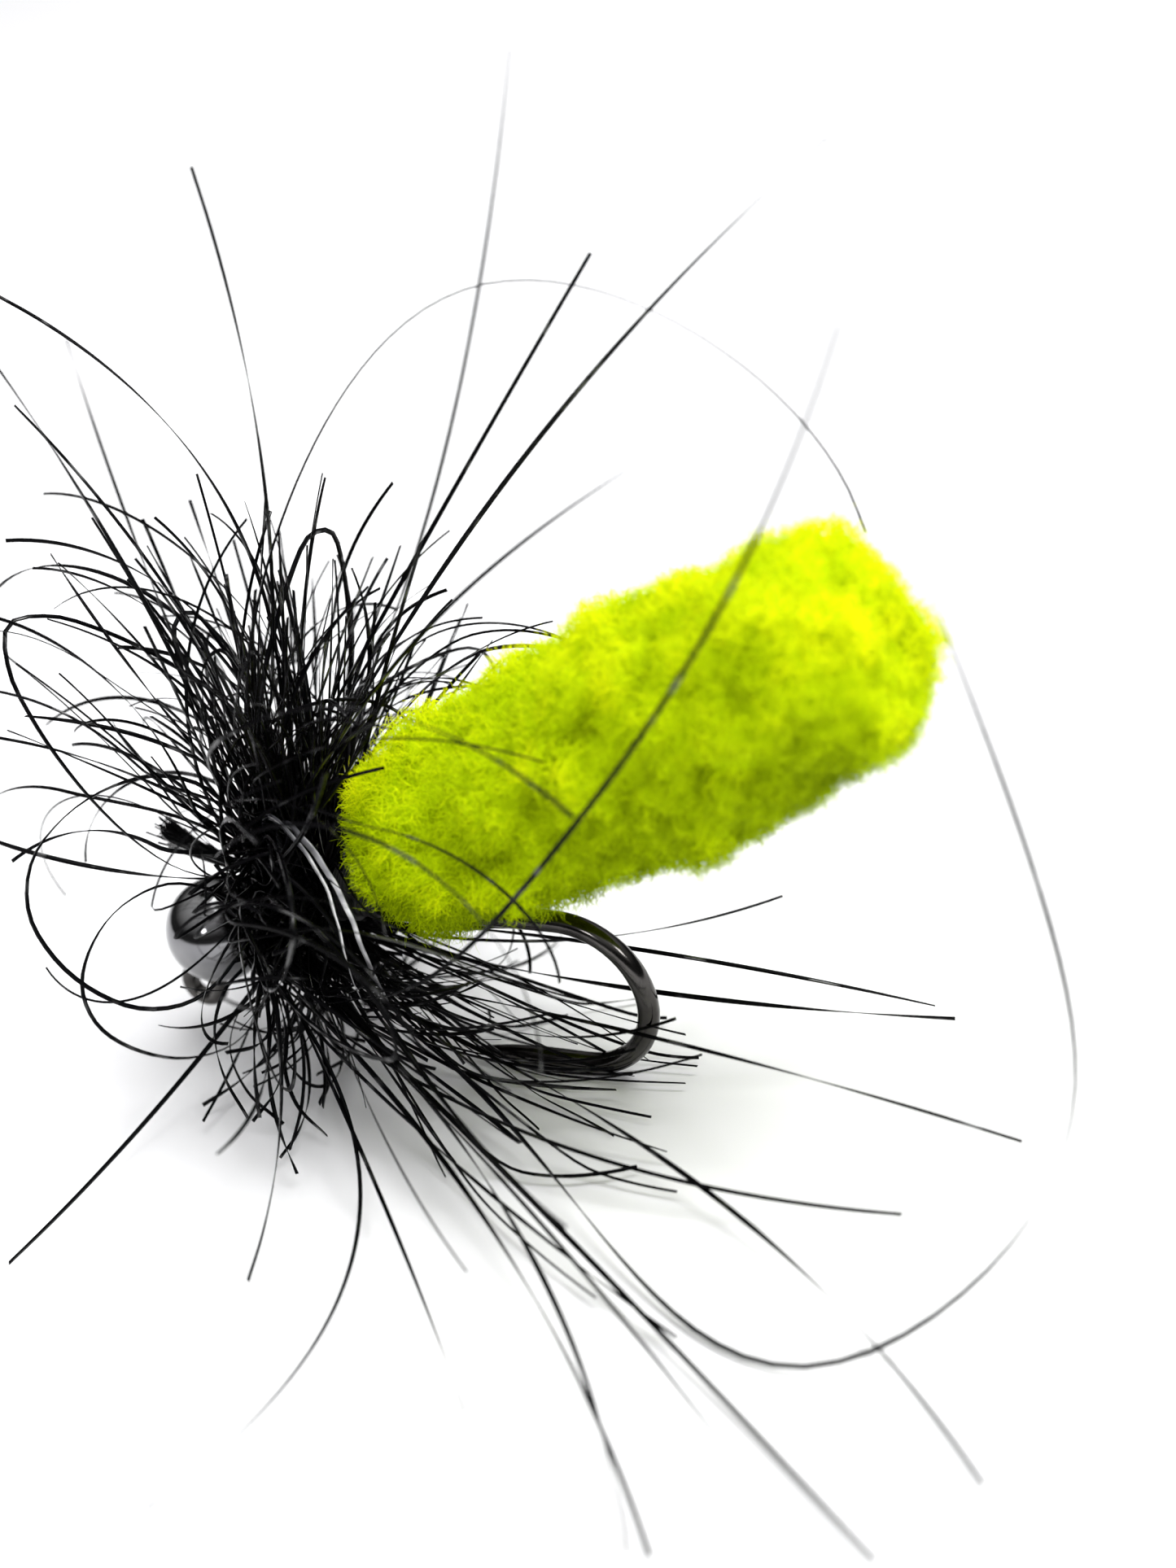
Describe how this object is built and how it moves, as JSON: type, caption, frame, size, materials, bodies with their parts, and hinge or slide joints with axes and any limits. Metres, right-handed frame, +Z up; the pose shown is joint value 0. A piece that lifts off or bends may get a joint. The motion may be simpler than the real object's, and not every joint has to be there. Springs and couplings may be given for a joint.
{
  "type": "artificial fishing fly",
  "caption": "Mop-style jig fly: down-eye jig hook with a slotted bead, a wild collar of black filaments and a fluffy chartreuse chenille body.",
  "frame": {"origin": "centre of the hook eye", "axes": "+X back along the shank towards the bend, +Z up away from the point, +Y along the eye's hole axis"},
  "size_m": [0.0402, 0.0377, 0.0355],
  "materials": {
    "black_nickel_wire": "polished black nickel",
    "nickel_bead": "polished nickel",
    "tying_thread": "waxed thread",
    "head_cement": "clear gloss",
    "brush_core_wire": "dark wire",
    "black_filament": "glossy synthetic filament",
    "chenille_core_thread": "twisted thread",
    "chartreuse_pile": "microfibre pile",
    "flash_tinsel": "mirror tinsel"
  },
  "bodies": {
    "hook_body": {"hook": "black_nickel_wire", "bead": "nickel_bead", "thread_base": "tying_thread", "head_wraps": "tying_thread", "whip_finish": "tying_thread", "head_cement": "head_cement", "collar_core": "brush_core_wire", "collar_pile": "black_filament", "collar_lashing": "tying_thread", "core_tag": "black_filament", "strand_root": "chenille_core_thread", "strand_lashing": "tying_thread", "front_filaments": "black_filament", "trailing_filaments": "black_filament"},
    "strand_neck": {"strand_neck": "chenille_core_thread"},
    "strand": {"strand_core": "chenille_core_thread", "strand_pile": "chartreuse_pile"},
    "top_fan": {"top_filaments": "black_filament"},
    "near_fan": {"near_filaments": "black_filament", "flash_strands": "flash_tinsel"},
    "bottom_fan": {"bottom_filaments": "black_filament"},
    "far_fan": {"far_filaments": "black_filament"}
  },
  "joints": [
    {"name": "strand_lift", "type": "hinge", "parent": "hook_body", "child": "strand_neck", "pos_m": [0.009, 0, 0.0059], "axis": [0, -1, 0], "range_deg": [-6, 18], "deforming": ["strand_pile"]},
    {"name": "strand_sway", "type": "hinge", "parent": "strand_neck", "child": "strand", "pos_m": [0.01044, 0, 0.0066], "axis": [-0.4384, 0, 0.8988], "range_deg": [-15, 15], "deforming": ["strand_pile"]},
    {"name": "top_sweep", "type": "hinge", "parent": "hook_body", "child": "top_fan", "pos_m": [0.0056, 0, 0.0071], "axis": [0, 1, 0], "range_deg": [-6, 8], "deforming": ["top_filaments"]},
    {"name": "near_sweep", "type": "hinge", "parent": "hook_body", "child": "near_fan", "pos_m": [0.0056, -0.0027, 0.0044], "axis": [0, 0, 1], "range_deg": [-6, 8], "deforming": ["near_filaments", "flash_strands"]},
    {"name": "bottom_sweep", "type": "hinge", "parent": "hook_body", "child": "bottom_fan", "pos_m": [0.0056, 0, 0.0017], "axis": [0, -1, 0], "range_deg": [-6, 8], "deforming": ["bottom_filaments"]},
    {"name": "far_sweep", "type": "hinge", "parent": "hook_body", "child": "far_fan", "pos_m": [0.0056, 0.0027, 0.0044], "axis": [0, 0, -1], "range_deg": [-6, 8], "deforming": ["far_filaments"]}
  ]
}
